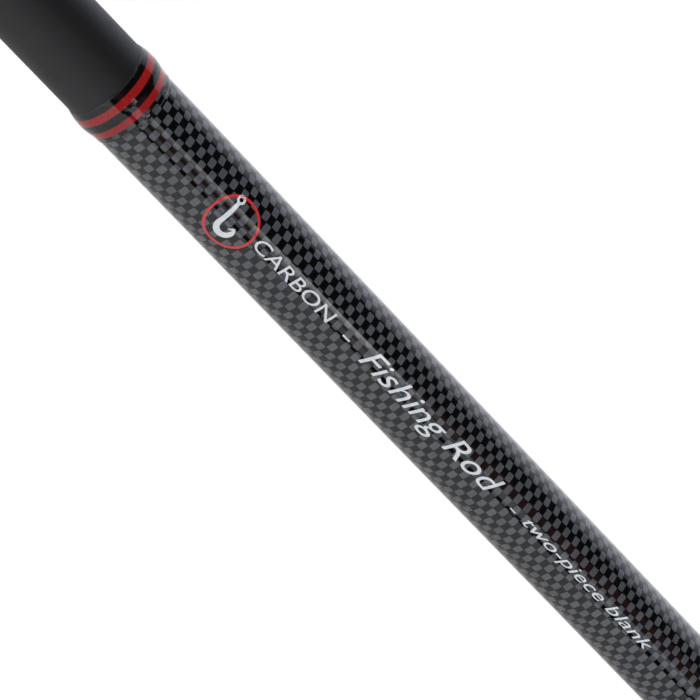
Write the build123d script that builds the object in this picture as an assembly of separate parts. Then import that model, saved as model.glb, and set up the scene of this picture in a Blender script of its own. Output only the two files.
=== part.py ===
"""A two-piece spinning rod, 2.70 m long, as separate pieces.

The rod lies along +X from the butt to the tip. The reel and the guides hang below it, on -Z.
The origin is the middle of the butt cap's flat end. Millimetres throughout.
"""

import math
import os

from build123d import *

# ---- Rod -------------------------------------------------------------------
ROD_LENGTH = 2700.0
GLUE_GAP = 0.03  # radial gap between a glued piece and what it sits on

# Butt blank: (x, outer radius) stations, parallel ahead of the handle
BUTT_STATIONS = [(8.0, 7.0), (560.0, 6.50), (760.0, 6.50), (1325.0, 5.10), (1400.0, 4.92)]
BUTT_WALL = 1.0

# Tip blank: its wide end slips over the end of the butt blank
FERRULE_START = 1325.0
FERRULE_END = 1400.0
FERRULE_GAP = 0.04  # radial gap in the slip joint
TIP_STATIONS = [(FERRULE_START, 5.85), (1405.0, 5.50), (1440.0, 5.20), (2690.0, 1.02)]
TIP_WALL = 0.55
BORE_STEP = 0.25  # extra bore where the tip blank's wall leaves the slip joint
FERRULE_RING = (1326.2, 1329.0)
FERRULE_RING_THICKNESS = 0.55
FERRULE_WRAP = (1329.1, 1359.0)

# ---- Handle ----------------------------------------------------------------
CAP_LENGTH = 24.0
CAP_RADIUS = 13.8
CAP_EDGE = 4.0  # radius of its rounded rim
CAP_GROOVES = (9.0, 13.0, 17.0)
CAP_GROOVE_WIDTH, CAP_GROOVE_DEPTH = 1.2, 0.6
GRIP_RADIUS = 14.0
GRIP_STRAIGHT_END = 170.0
GRIP_WAIST = (240.0, 12.3)
GRIP_END_RADIUS = 13.4  # of both grips where they meet a trim ring
REAR_TRIM = (310.0, 314.0)
SEAT_START, SEAT_END = 314.0, 440.0
FRONT_TRIM = (440.0, 443.5)
TRIM_RADIUS, TRIM_GROOVE_DEPTH = 13.9, 0.5
FOREGRIP_STRAIGHT_END = 451.5
FOREGRIP_WAIST = (481.5, 12.4)
FOREGRIP_END = 531.0
FOREGRIP_END_RADIUS = 9.4
CHECK_END = 537.0
CHECK_RIM_RADIUS = 9.6

# ---- Reel seat -------------------------------------------------------------
SEAT_BORE = 9.0
SEAT_RADIUS = 11.7  # saddle under the reel foot, and the crest of the thread
THREAD_ROOT = 10.9
THREAD_PITCH = 2.5
THREAD_START, THREAD_END = 319.0, 372.0
FLANGE_RADIUS = 13.6
FLANGE_LENGTH = 4.0
KEYWAY_WIDTH, KEYWAY_FLOOR = 4.2, 10.5
KEYWAY_END = 394.0
ARBOR_STARTS, ARBOR_LENGTH = (322.0, 368.0, 414.0), 18.0

NUT_START, NUT_LENGTH, NUT_RADIUS = 320.0, 16.0, 15.4
NUT_SCALLOPS = 18
HOOD_GAP = 0.3  # between the nut and the hood that it pushes
HOOD_LENGTH = 24.0
HOOD_BORE = 11.95
HOOD_TRAVEL = 30.0
HOOD_FRONT = (15.2, 13.9, -18.3)  # half width, top and bottom of its outer form
HOOD_BACK = (14.4, 14.2, -14.7)
KEY_WIDTH, KEY_HEIGHT, KEY_MIDDLE = 3.6, 1.7, 11.6  # the sliding hood's key
POCKET_DEPTH, POCKET_RADIUS, POCKET_HALF_ANGLE = 13.0, 16.8, 34.0
LINER_THICKNESS = 0.4
FIXED_HOOD_MOUTH = 412.0

# ---- Trim wrap ahead of the handle -----------------------------------------
WRAP_START = 577.0
WRAP_LENGTH = 6.25
WRAP_HEIGHT = 0.48  # of the clear coat at its highest
THREAD_HEIGHT = 0.15
THREAD_LEAD = 0.35  # clear coat before the first thread
THREAD_WIDTHS = (0.85, 1.25, 1.37, 1.15)  # black, red, black, red

# ---- Guides ----------------------------------------------------------------
TIP_TOP_SIZE = 8.0
TIP_TOP_X = ROD_LENGTH - 2.4
GUIDE_SIZES = [30.0, 20.0, 16.0, 12.0, 10.0, 8.0, 8.0]  # ring outer diameters, butt to tip
FIRST_SPACING, SPACING_GROWTH = 110.0, 1.235  # from the tip towards the butt
TWO_FOOT_FROM = 16.0  # guides of this size and over stand on two feet
LEG_ANGLE = 62.0  # from the top of the band to where each of a pair of legs meets it
WRAP_COVER = 0.4  # thread and varnish over a guide foot
TUBE_END = 2690.5  # inner end of the tip top's tube
TUBE_LENGTH = 12.0
TUBE_BORE, TUBE_RADIUS = 1.12, 1.55
TIP_TOP_WIRE = 0.45  # radius
TIP_TOP_WRAP_LENGTH = 6.0


def turned(points):
    """A solid turned about the rod's axis from (x, radius) points."""
    outline = Polyline(*[(x, r, 0.0) for x, r in points], close=True)
    return revolve(make_face(outline), Axis.X, 360)


def ring(x0, x1, outer, inner):
    """A plain ring about the rod's axis."""
    return turned([(x0, inner), (x1, inner), (x1, outer), (x0, outer)])


def along_x(radius, x0, x1, y=0.0, z=0.0):
    """A rod of the given radius from x0 to x1, parallel to the rod's axis."""
    return Plane((x0, y, z), x_dir=(0, 1, 0), z_dir=(1, 0, 0)) * Cylinder(
        radius, x1 - x0, align=(Align.CENTER, Align.CENTER, Align.MIN)
    )


def interpolate(stations, x):
    """Radius at x on a blank's stations."""
    for (xa, ra), (xb, rb) in zip(stations, stations[1:]):
        if x <= xb:
            return ra + (rb - ra) * (x - xa) / (xb - xa)
    return stations[-1][1]


def blank_radius(x):
    return interpolate(TIP_STATIONS if x >= FERRULE_START else BUTT_STATIONS, x)


def blank_form(x0, x1, extra):
    """The blank's outer form between two places, solid, grown by a thickness."""
    stations = TIP_STATIONS if x0 >= FERRULE_START else BUTT_STATIONS
    inner = [x for x, _ in stations if x0 < x < x1]
    profile = [(x, blank_radius(x) + extra) for x in [x0, *inner, x1]]
    return turned([(x0, 0.0), *profile, (x1, 0.0)])


def fitted(shape, x0, x1):
    """A shape that lies between x0 and x1, bored out to sit on the blank."""
    return shape - blank_form(x0 - 1.0, x1 + 1.0, GLUE_GAP)


def sleeve(x0, x1, thickness):
    """An even layer round the blank."""
    return fitted(blank_form(x0, x1, thickness), x0, x1)


# ---- Blanks ----------------------------------------------------------------
def butt_blank():
    outer = list(BUTT_STATIONS)
    inner = [(x, r - BUTT_WALL) for x, r in reversed(BUTT_STATIONS)]
    return turned(outer + inner)


def tip_blank():
    """Its bore follows the butt blank through the slip joint, then its own wall."""
    joint = (FERRULE_START, FERRULE_END + 2.0)
    bore = [(x, interpolate(BUTT_STATIONS, x) + FERRULE_GAP) for x in joint]
    x_after = FERRULE_END + 12.0
    bore.append((x_after, interpolate(TIP_STATIONS, x_after) - TIP_WALL - BORE_STEP))
    tip_x, tip_r = TIP_STATIONS[-1]
    bore.append((tip_x, tip_r - TIP_WALL))
    return turned(TIP_STATIONS + bore[::-1])


# ---- Handle ----------------------------------------------------------------
def butt_cap():
    body = turned([(0, 0), (0, CAP_RADIUS), (CAP_LENGTH, CAP_RADIUS), (CAP_LENGTH, 0)])
    rim = body.edges().filter_by(GeomType.CIRCLE).sort_by(Axis.X)[0]
    body = fillet(rim, CAP_EDGE)
    for x in CAP_GROOVES:
        body -= ring(x, x + CAP_GROOVE_WIDTH, CAP_RADIUS + 1.0, CAP_RADIUS - CAP_GROOVE_DEPTH)
    return body - blank_form(BUTT_STATIONS[0][0], CAP_LENGTH + 1.0, GLUE_GAP)


def smooth_profile(x0, x1, spine, end_radius):
    """A turned body: straight at first, then with a smooth side through (x, radius) points."""
    side = Spline(*[(x, r, 0) for x, r in spine], tangents=[(1, 0, 0), (1, 0, 0)])
    start_r = spine[0][1]
    edges = [
        Line((x0, 0, 0), (x0, start_r, 0)),
        Line((x0, start_r, 0), (spine[0][0], start_r, 0)),
        side,
        Line((spine[-1][0], end_radius, 0), (x1, end_radius, 0)),
        Line((x1, end_radius, 0), (x1, 0, 0)),
        Line((x1, 0, 0), (x0, 0, 0)),
    ]
    return revolve(make_face(edges), Axis.X, 360)


def rear_grip():
    side = [
        (GRIP_STRAIGHT_END, GRIP_RADIUS),
        GRIP_WAIST,
        (REAR_TRIM[0] - 6.0, GRIP_END_RADIUS),
    ]
    body = smooth_profile(CAP_LENGTH, REAR_TRIM[0], side, GRIP_END_RADIUS)
    rim = body.edges().filter_by(GeomType.CIRCLE).sort_by(Axis.X)[0]
    return fitted(fillet(rim, 1.0), CAP_LENGTH, REAR_TRIM[0])


def foregrip():
    side = [
        (FOREGRIP_STRAIGHT_END, GRIP_END_RADIUS),
        FOREGRIP_WAIST,
        (FOREGRIP_END - 1.5, FOREGRIP_END_RADIUS),
    ]
    body = smooth_profile(FRONT_TRIM[1], FOREGRIP_END, side, FOREGRIP_END_RADIUS)
    return fitted(body, FRONT_TRIM[1], FOREGRIP_END)


def foregrip_check():
    """Winding check: a turned metal cone that closes the foregrip's front end."""
    x0, x1 = FOREGRIP_END, CHECK_END
    rim = CHECK_RIM_RADIUS
    nose = blank_radius(x1) + 0.5
    cone = turned(
        [(x0, 0), (x0, rim), (x0 + 1.2, rim), (x0 + 2.0, rim - 0.7), (x1, nose), (x1, 0)]
    )
    return fitted(cone, x0, x1)


def trim_ring(span):
    """Turned metal ring between a grip and the reel seat, with a groove round its middle."""
    x0, x1 = span
    middle = (x0 + x1) / 2
    body = ring(x0, x1, TRIM_RADIUS, 5.0)
    body -= ring(middle - 0.4, middle + 0.4, TRIM_RADIUS + 1.0, TRIM_RADIUS - TRIM_GROOVE_DEPTH)
    return fitted(body, x0, x1)


# ---- Reel seat -------------------------------------------------------------
def helical_ridge(start_x, turns, base_radius, base_width, top_radius, top_width):
    """One ridge of trapezoid section wound round the rod's axis, right-handed."""
    helix = Helix(THREAD_PITCH, THREAD_PITCH * turns, base_radius)
    section = Polyline(
        (base_radius, 0, -base_width / 2),
        (top_radius, 0, -top_width / 2),
        (top_radius, 0, top_width / 2),
        (base_radius, 0, base_width / 2),
        close=True,
    )
    wound = sweep(make_face(section), path=helix, is_frenet=True)
    return Location((start_x, 0, 0)) * Rotation(0, 90, 0) * wound


def keyway(x0, x1, width, floor):
    """The slot along the top of the thread that keeps the sliding hood from turning."""
    return Location(((x0 + x1) / 2, 0, floor + 5.0)) * Box(x1 - x0, width, 10.0)


def reel_seat_body():
    barrel = turned(
        [
            (SEAT_START, SEAT_BORE),
            (SEAT_START, FLANGE_RADIUS),
            (SEAT_START + FLANGE_LENGTH, FLANGE_RADIUS),
            (SEAT_START + FLANGE_LENGTH, THREAD_ROOT),
            (THREAD_END + 1.0, THREAD_ROOT),
            (THREAD_END + 1.8, SEAT_RADIUS),
            (SEAT_END - FLANGE_LENGTH, SEAT_RADIUS),
            (SEAT_END - FLANGE_LENGTH, FLANGE_RADIUS),
            (SEAT_END, FLANGE_RADIUS),
            (SEAT_END, SEAT_BORE),
        ]
    )
    turns = (THREAD_END - THREAD_START) / THREAD_PITCH - 0.5
    ridge = helical_ridge(THREAD_START + 0.8, turns, THREAD_ROOT - 0.1, 1.71, SEAT_RADIUS, 0.7)
    slot = keyway(SEAT_START + FLANGE_LENGTH, KEYWAY_END, KEYWAY_WIDTH, KEYWAY_FLOOR)
    return barrel + ridge - slot


def seat_arbors():
    """The rings that centre the seat on the blank."""
    arbors = []
    for x0 in ARBOR_STARTS:
        x1 = x0 + ARBOR_LENGTH
        arbors.append(fitted(ring(x0, x1, SEAT_BORE - GLUE_GAP, 4.0), x0, x1))
    return Compound(arbors)


def sector(radius, x0, x1, half_angle):
    """A wedge about the axis, open downwards, that bounds a hood's pocket."""
    a = math.radians(half_angle)
    y, z = 3.0 * radius * math.sin(a), -3.0 * radius * math.cos(a)
    wedge = Polyline((0, 0, 0), (0, y, z), (0, -y, z), close=True)
    prism = Location((x0, 0, 0)) * extrude(make_face(wedge), amount=x1 - x0, dir=(1, 0, 0))
    return prism & along_x(radius, x0, x1)


def ellipse_at(x, half_width, top, bottom):
    """An ellipse across the rod's axis, from z = bottom to z = top."""
    middle, half_height = (top + bottom) / 2, (top - bottom) / 2
    return Plane((x, 0, middle), x_dir=(0, 1, 0), z_dir=(1, 0, 0)) * Ellipse(half_width, half_height)


def hood(mouth_x, facing, bore):
    """A hood that takes one end of the reel foot. facing is +1 if its mouth is on the tip side."""
    pocket_back = mouth_x - facing * (POCKET_DEPTH + 1.5)
    back = mouth_x - facing * HOOD_LENGTH
    mouth = ellipse_at(mouth_x, *HOOD_FRONT)
    front = extrude(mouth, amount=abs(pocket_back - mouth_x), dir=(-facing, 0, 0))
    shell = front + loft([ellipse_at(pocket_back, *HOOD_FRONT), ellipse_at(back, *HOOD_BACK)])
    by_x = shell.edges().group_by(Axis.X)
    shell = fillet(by_x[0] + by_x[-1], 0.5)
    low, high = sorted((mouth_x, back))
    shell -= along_x(bore, low - 1.0, high + 1.0)
    deep, wide = sorted((mouth_x + facing, mouth_x - facing * POCKET_DEPTH))
    return shell - sector(POCKET_RADIUS, deep, wide, POCKET_HALF_ANGLE)


def sliding_hood_start():
    return NUT_START + NUT_LENGTH + HOOD_GAP


def hood_liner(mouth_x, facing):
    """The soft strip in a pocket's roof that presses on the reel foot."""
    span = sorted((mouth_x - facing * 1.0, mouth_x - facing * (POCKET_DEPTH - 0.2)))
    outer = sector(POCKET_RADIUS, span[0], span[1], POCKET_HALF_ANGLE - 4.0)
    return outer - along_x(POCKET_RADIUS - LINER_THICKNESS, span[0] - 1, span[1] + 1)


def sliding_hood():
    mouth = sliding_hood_start() + HOOD_LENGTH
    body = hood(mouth, +1, HOOD_BORE)
    key = Box(HOOD_LENGTH - 2.0, KEY_WIDTH, KEY_HEIGHT)
    return body + Location((mouth - HOOD_LENGTH / 2, 0, KEY_MIDDLE)) * key


def lock_nut():
    """The threaded ring that drives the sliding hood."""
    x0, x1 = NUT_START, NUT_START + NUT_LENGTH
    bore, side, shoulder = SEAT_RADIUS + 0.2, NUT_RADIUS - 0.4, NUT_RADIUS - 1.0
    body = turned(
        [
            (x0, bore),
            (x0, side - 1.2),
            (x0 + 1.2, side),
            (x1 - 3.6, side),
            (x1 - 3.6, shoulder),
            (x1, shoulder),
            (x1, bore),
        ]
    )
    for k in range(NUT_SCALLOPS):
        a = 2 * math.pi * k / NUT_SCALLOPS
        reach = NUT_RADIUS + 0.35
        body -= along_x(1.1, x0 - 1.0, x1 - 4.6, reach * math.sin(a), reach * math.cos(a))
    groove_centre = THREAD_START + 0.8 + THREAD_PITCH * 0.5
    first = groove_centre + THREAD_PITCH * math.ceil((x0 + 1.6 - groove_centre) / THREAD_PITCH)
    turns = math.floor((x1 - 1.6 - first) / THREAD_PITCH)
    return body + helical_ridge(first, turns, 12.0, 1.84, 11.05, 0.77)


def nut_band():
    """Bright ring pressed on the nut's front shoulder."""
    x1 = NUT_START + NUT_LENGTH
    return ring(x1 - 3.4, x1 - 0.4, NUT_RADIUS - 0.2, NUT_RADIUS - 1.0)


# ---- Trim wrap -------------------------------------------------------------
def thread_spans():
    """(x0, x1) of each stretch of thread in the trim wrap: black, red, black, red."""
    spans, x = [], WRAP_START + THREAD_LEAD
    for width in THREAD_WIDTHS:
        spans.append((x, x + width))
        x += width
    return spans


def trim_wrap_coat():
    """Clear coat: a low dome over the threads, highest before its middle."""
    x0, x1 = WRAP_START, WRAP_START + WRAP_LENGTH
    r0, r1 = blank_radius(x0), blank_radius(x1)
    peak = (x0 + 0.44 * WRAP_LENGTH, r0 + WRAP_HEIGHT)
    edge = 0.03  # thickness at both ends
    ends = ((x0, r0 + edge, 0), (x1, r1 + edge, 0))
    side = Spline(ends[0], (*peak, 0), ends[1], tangents=[(1, 0.7, 0), (1, -0.3, 0)])
    edges = [
        Line((x0, 0, 0), (x0, r0 + edge, 0)),
        side,
        Line((x1, r1 + edge, 0), (x1, 0, 0)),
        Line((x1, 0, 0), (x0, 0, 0)),
    ]
    dome = fitted(revolve(make_face(edges), Axis.X, 360), x0, x1)
    spans = thread_spans()
    return dome - sleeve(spans[0][0], spans[-1][1], THREAD_HEIGHT)


# ---- Guides ----------------------------------------------------------------
def ring_wall(size):
    """Radial thickness of a ceramic ring."""
    return 0.75 + 0.042 * size


def band_radius(size):
    """Outer radius of the metal band that holds the ring."""
    return size / 2 + cushion_wall(size) + 0.8


def cushion_wall(size):
    return 0.4 + 0.015 * size


def ring_height(size):
    """From the blank's surface to the middle of the ring."""
    return size + 0.5


def ceramic_ring(x, z, size):
    """The ring that the line runs through, with rounded rims and a short straight land."""
    outer, inner, half = size / 2, size / 2 - ring_wall(size), 0.9 + 0.022 * size
    body = ring(x - half, x + half, outer, inner)
    rims = body.edges().filter_by(GeomType.CIRCLE)
    body = fillet(rims, min(0.42 * ring_wall(size), 0.8 * (half - 0.5)))
    return Location((0, 0, z)) * body


def ring_opening(x, z, size):
    """The hole through a guide's band, just long enough for the ring and cushion that fill it."""
    half = 1.1 + 0.022 * size
    return along_x(size / 2 + cushion_wall(size), x - half, x + half, z=z)


def ring_cushion(x, z, size):
    half = 0.8 + 0.015 * size
    return Location((0, 0, z)) * ring(x - half, x + half, size / 2 + cushion_wall(size), size / 2)


def wire(radius, path):
    """Round wire along a path."""
    return sweep(Plane(origin=path @ 0, z_dir=path % 0) * Circle(radius), path=path)


def wire_radius(size):
    return 0.5 + 0.017 * size


def foot_span(x, size, side):
    """(inner end, tip) of a guide's foot, on the given side of the ring."""
    reach = 0.62 * size if size >= TWO_FOOT_FROM else 0.5 * size + 1.0
    length = 7.0 + 0.24 * size
    return x + side * reach, x + side * (reach + length)


def foot_axis_z(x, size, side):
    """Height of a foot's middle line, a little sunk into the blank before it is cut to fit."""
    near, tip = foot_span(x, size, side)
    return -(blank_radius((near + tip) / 2) + 0.6 * wire_radius(size))


def tapered(x0, x1, z, start_radius, end_radius):
    """A cone from x0 to x1, either way along the rod, below its axis."""
    direction = 1 if x1 > x0 else -1
    cone = Cone(start_radius, end_radius, abs(x1 - x0), align=(Align.CENTER, Align.CENTER, Align.MIN))
    return Plane((x0, 0, z), x_dir=(0, 1, 0), z_dir=(direction, 0, 0)) * cone


def foot(x, size, side):
    """A tapered tongue that lies on the blank."""
    near, tip = foot_span(x, size, side)
    r = wire_radius(size)
    return tapered(near, tip, foot_axis_z(x, size, side), 1.3 * r, 0.5 * r)


def leg(x, size, side, angle):
    """A leg from a foot up to the ring's band, which it meets at an angle from the band's top."""
    r = wire_radius(size)
    near, _ = foot_span(x, size, side)
    foot_z = foot_axis_z(x, size, side)
    centre_z = -(blank_radius(x) + ring_height(size))
    a = math.radians(angle)
    radius = band_radius(size) - 0.4
    top = (x, radius * math.sin(a), centre_z + radius * math.cos(a))
    run = abs(near - x)
    y = 0.35 * r * math.copysign(1.0, angle) if angle else 0.0
    start = (near + side * 2.0, y, foot_z)
    knee = (near - side * 0.15 * run, y, foot_z)
    rounded_end = Location(top) * Sphere(r)
    return wire(r, FilletPolyline(start, knee, top, radius=0.9 * r + 0.1 * run)) + rounded_end


def guide_sides(size):
    """The sides that a guide's feet are on: +1 towards the tip, -1 towards the butt."""
    return (1, -1) if size >= TWO_FOOT_FROM else (1,)


def guide_frame(x, size):
    """Feet, legs and the band that holds the ring. A two-foot guide's front foot has one leg."""
    centre_z = -(blank_radius(x) + ring_height(size))
    half = 0.65 + 0.015 * size
    inner = size / 2 + cushion_wall(size)
    frame = Location((0, 0, centre_z)) * ring(x - half, x + half, band_radius(size), inner)
    for side in guide_sides(size):
        frame += foot(x, size, side)
        one_leg = side == 1 and size >= TWO_FOOT_FROM
        angles = (0.0,) if one_leg else (-LEG_ANGLE, LEG_ANGLE)
        for angle in angles:
            frame += leg(x, size, side, angle)
    frame -= ring_opening(x, centre_z, size)
    return fitted(frame, x - 2 * size - 20, x + 2 * size + 20)


def foot_wraps(x, size, frame):
    """The thread wrap over each foot, as one group."""
    wraps = []
    for side in guide_sides(size):
        near, tip = foot_span(x, size, side)
        start, end = near + side * 1.0, tip + side * 2.5
        r = wire_radius(size)
        x0, x1 = sorted((start, end))
        thick, thin = 1.3 * r + WRAP_COVER, 0.5 * r + 0.5 * WRAP_COVER
        hump = tapered(start, end, foot_axis_z(x, size, side), thick, thin)
        wrap = fitted(blank_form(x0, x1, WRAP_COVER) + hump, x0, x1) - frame
        wraps.append(max(wrap.solids(), key=lambda s: s.volume))
    return Compound(wraps)


def guide_places():
    """(x, size) of each guide, from the butt to the tip."""
    places, x, step = [], TIP_TOP_X, FIRST_SPACING
    for size in reversed(GUIDE_SIZES):
        x -= step
        step *= SPACING_GROWTH
        places.append((round(x, 1), size))
    return list(reversed(places))


# ---- Tip top ---------------------------------------------------------------
def tip_top_centre():
    return TIP_TOP_X, -(TIP_TOP_SIZE / 2 + 1.9)


def tip_top_frame():
    """Tube, band, and two pairs of wires from the tube's sides to the band."""
    x, z = tip_top_centre()
    start, end = TUBE_END - TUBE_LENGTH, TUBE_END
    half_width = 0.8
    inner = TIP_TOP_SIZE / 2 + cushion_wall(TIP_TOP_SIZE)
    outer = band_radius(TIP_TOP_SIZE)
    closed_end = end + 0.8
    frame = turned(
        [
            (start, TUBE_BORE),
            (start, TUBE_RADIUS),
            (closed_end, TUBE_RADIUS),
            (closed_end, 0),
            (end, 0),
            (end, TUBE_BORE),
        ]
    )
    frame += Location((0, 0, z)) * ring(x - half_width, x + half_width, outer, inner)
    for side in (-1, 1):
        for angle, root_x in ((40, end - 1.5), (100, start + 3.0)):
            a = math.radians(angle)
            top = (x, side * (outer - 0.4) * math.sin(a), z + (outer - 0.4) * math.cos(a))
            root = (root_x, side * (TUBE_RADIUS - 0.25), -0.5)
            frame += wire(TIP_TOP_WIRE, Line(root, top))
    bore = along_x(TUBE_BORE, start - 1.0, end)
    return frame - ring_opening(x, z, TIP_TOP_SIZE) - bore


def tip_top_wrap():
    """Thread wrap where the tip top's tube ends on the blank."""
    tube_start = TUBE_END - TUBE_LENGTH
    return sleeve(tube_start - TIP_TOP_WRAP_LENGTH, tube_start - 0.05, WRAP_COVER)


# ---- Slip joint ------------------------------------------------------------
def ferrule_wrap():
    """Thread wrap that keeps the tip blank's mouth from splitting."""
    return sleeve(*FERRULE_WRAP, WRAP_COVER)


def ferrule_ring():
    return sleeve(*FERRULE_RING, FERRULE_RING_THICKNESS)


def build():
    nodes = {
        "butt_cap": butt_cap(),
        "rear_grip": rear_grip(),
        "rear_trim_ring": trim_ring(REAR_TRIM),
        "reel_seat_body": reel_seat_body(),
        "seat_arbors": seat_arbors(),
        "fixed_hood": hood(FIXED_HOOD_MOUTH, -1, SEAT_RADIUS + GLUE_GAP),
        "fixed_hood_liner": hood_liner(FIXED_HOOD_MOUTH, -1),
        "sliding_hood": sliding_hood(),
        "sliding_hood_liner": hood_liner(sliding_hood_start() + HOOD_LENGTH, +1),
        "lock_nut": lock_nut(),
        "nut_band": nut_band(),
        "front_trim_ring": trim_ring(FRONT_TRIM),
        "foregrip": foregrip(),
        "foregrip_check": foregrip_check(),
        "butt_blank": butt_blank(),
        "tip_blank": tip_blank(),
        "ferrule_wrap": ferrule_wrap(),
        "ferrule_ring": ferrule_ring(),
        "trim_wrap_coat": trim_wrap_coat(),
        "tip_top_frame": tip_top_frame(),
        "tip_top_wrap": tip_top_wrap(),
    }
    spans = thread_spans()
    rings = [sleeve(x0, x1, THREAD_HEIGHT) for x0, x1 in spans]
    nodes["trim_wrap_black_thread"] = Compound([rings[0], rings[2]])
    nodes["trim_wrap_red_bands"] = Compound([rings[1], rings[3]])
    x, z = tip_top_centre()
    nodes["tip_top_ring"] = ceramic_ring(x, z, TIP_TOP_SIZE)
    nodes["tip_top_cushion"] = ring_cushion(x, z, TIP_TOP_SIZE)
    for number, (x, size) in enumerate(guide_places(), start=1):
        z = -(blank_radius(x) + ring_height(size))
        frame = guide_frame(x, size)
        nodes[f"guide_{number}_frame"] = frame
        nodes[f"guide_{number}_ring"] = ceramic_ring(x, z, size)
        nodes[f"guide_{number}_cushion"] = ring_cushion(x, z, size)
        nodes[f"guide_{number}_wraps"] = foot_wraps(x, size, frame)
    return nodes


os.makedirs("parts", exist_ok=True)
for name, shape in build().items():
    export_step(shape, f"parts/{name}.step")
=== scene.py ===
"""The looks of a two-piece spinning rod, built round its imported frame.

The rod lies along +X from the butt to the tip, and the guides hang on -Z. Metres throughout.
"""

import math

import bmesh
import bpy
from mathutils import Matrix, Vector


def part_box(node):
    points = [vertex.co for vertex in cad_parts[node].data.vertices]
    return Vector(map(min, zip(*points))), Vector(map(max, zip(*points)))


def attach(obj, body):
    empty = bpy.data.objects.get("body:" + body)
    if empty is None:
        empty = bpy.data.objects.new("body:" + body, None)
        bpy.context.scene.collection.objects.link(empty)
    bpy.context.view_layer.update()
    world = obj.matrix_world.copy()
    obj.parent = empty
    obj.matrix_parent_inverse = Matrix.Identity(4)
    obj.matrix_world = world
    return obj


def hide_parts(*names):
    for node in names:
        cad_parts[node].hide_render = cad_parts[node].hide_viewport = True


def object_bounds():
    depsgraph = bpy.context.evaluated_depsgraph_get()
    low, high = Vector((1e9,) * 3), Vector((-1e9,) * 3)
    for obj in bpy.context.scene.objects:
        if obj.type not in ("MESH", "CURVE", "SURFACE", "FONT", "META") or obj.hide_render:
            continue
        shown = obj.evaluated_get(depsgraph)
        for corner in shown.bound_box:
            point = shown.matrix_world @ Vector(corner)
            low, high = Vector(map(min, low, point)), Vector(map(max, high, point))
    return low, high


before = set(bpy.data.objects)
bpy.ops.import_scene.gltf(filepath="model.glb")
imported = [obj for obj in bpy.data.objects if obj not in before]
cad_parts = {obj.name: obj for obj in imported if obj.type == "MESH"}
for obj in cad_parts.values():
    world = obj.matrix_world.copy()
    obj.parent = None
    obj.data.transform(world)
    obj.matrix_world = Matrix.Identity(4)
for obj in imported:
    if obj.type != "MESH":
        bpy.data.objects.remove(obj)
CAD_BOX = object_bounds()

MM = 0.001

# ---- Blanks: (x, outer radius) stations, as in the frame's design -----------
BUTT_STATIONS = [
    (8.0 * MM, 7.0 * MM),
    (560.0 * MM, 6.50 * MM),
    (760.0 * MM, 6.50 * MM),
    (1325.0 * MM, 5.10 * MM),
    (1400.0 * MM, 4.92 * MM),
]
TIP_STATIONS = [
    (1325.0 * MM, 5.85 * MM),
    (1405.0 * MM, 5.50 * MM),
    (1440.0 * MM, 5.20 * MM),
    (2690.0 * MM, 1.02 * MM),
]
FERRULE_END = 1400.0 * MM
BUTT_WALL = 1.0 * MM
TIP_WALL = 0.55 * MM
FERRULE_GAP = 0.04 * MM
GLUE_GAP = 0.03 * MM
RING_SPACING = 25.0 * MM  # between the rings of vertices along a blank
ROUND = 128  # divisions round a turned piece that is seen close up
ROUND_FAR = 72

# ---- Trim wrap ----------------------------------------------------------------
WRAP_START, WRAP_END = (corner.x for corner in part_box("trim_wrap_coat"))
WRAP_HEIGHT = 0.48 * MM
THREAD_LEAD = 0.35 * MM
THREAD_HEIGHT = 0.15 * MM
THREAD_WIDTHS = (0.85 * MM, 1.25 * MM, 1.37 * MM, 1.15 * MM)  # black, red, black, red
THREAD_PITCH = 0.15 * MM
THREAD_GROOVE = 0.035 * MM  # depth between two turns
HAIR = 0.01 * MM  # keeps two surfaces that meet from lying in one place
FINISH_BORDER = WRAP_START + 3.5 * MM  # matte lacquer behind it, woven carbon ahead, under the wrap

# ---- Weave ----------------------------------------------------------------------
CELL_LENGTH = 1.149 * MM
CELLS_ROUND = 28.7
WEAVE_START = 0.53 * MM  # of one cell's edge along the rod
WEAVE_TURN = math.radians(4.0)  # of one row's edge round the rod, at WEAVE_MIDDLE
WEAVE_MIDDLE = 634.0 * MM
WEAVE_CLOSING = 0.278  # per metre: the cells get shorter towards the tip, by twice this share of the way
WEAVE_FULL = 611.6 * MM  # where they have their full length
WEAVE_SLANT = 0.035  # the cloth lies a little askew: its rows climb this much per length
WEAVE_RADIUS = 6.5 * MM
LIGHT_TOW = (0.073, 0.080, 0.091, 1.0)
DARK_TOW = (0.0009, 0.0009, 0.001, 1.0)

# ---- Printed marks: name, words, letter size, start x and turn from +Z in degrees, length, slant ----
MARKS = [
    ("print_material", "CARBON", 2.9, 607.9, -5.6, 16.9, 0.15),
    ("print_dash_1", "-", 2.6, 627.6, -6.0, 1.5, 0.0),
    ("print_object", "Fishing Rod", 4.4, 632.2, -5.0, 31.0, 0.4),
    ("print_dash_2", "-", 2.0, 666.6, -6.0, 1.2, 0.0),
    ("print_build", "two-piece blank", 2.3, 669.8, -4.0, 30.5, 0.4),
]
EMBLEM_X, EMBLEM_ANGLE = 603.2 * MM, math.radians(-11.0)
EMBLEM_RADIUS, EMBLEM_LINE = 4.2 * MM, 0.42 * MM
HOOK_BEND, HOOK_BEND_RADIUS = (-0.1 * MM, -1.0 * MM), 1.35 * MM
HOOK_SHANK_TOP = 2.7 * MM
HOOK_WIDTH, HOOK_SWELL = 0.62 * MM, 0.32 * MM
HOOK_POINT = (0.9, 0.75, 0.55, 0.32, 0.08)  # shares of its width towards the point
HOOK_EYE = (0.72 * MM, 0.34 * MM)

# ---- Camera -----------------------------------------------------------------------
VIEW_CENTRE = Vector((633.39 * MM, -1.65 * MM, 0.0))
VIEW_DISTANCE = 0.686
VIEW_TILT = math.radians(27.0)  # of the line of sight from the vertical, towards the butt
IMAGE_ANGLE = math.radians(46.025)  # of the rod's axis below the picture's horizontal
LENS = 247.4

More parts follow.
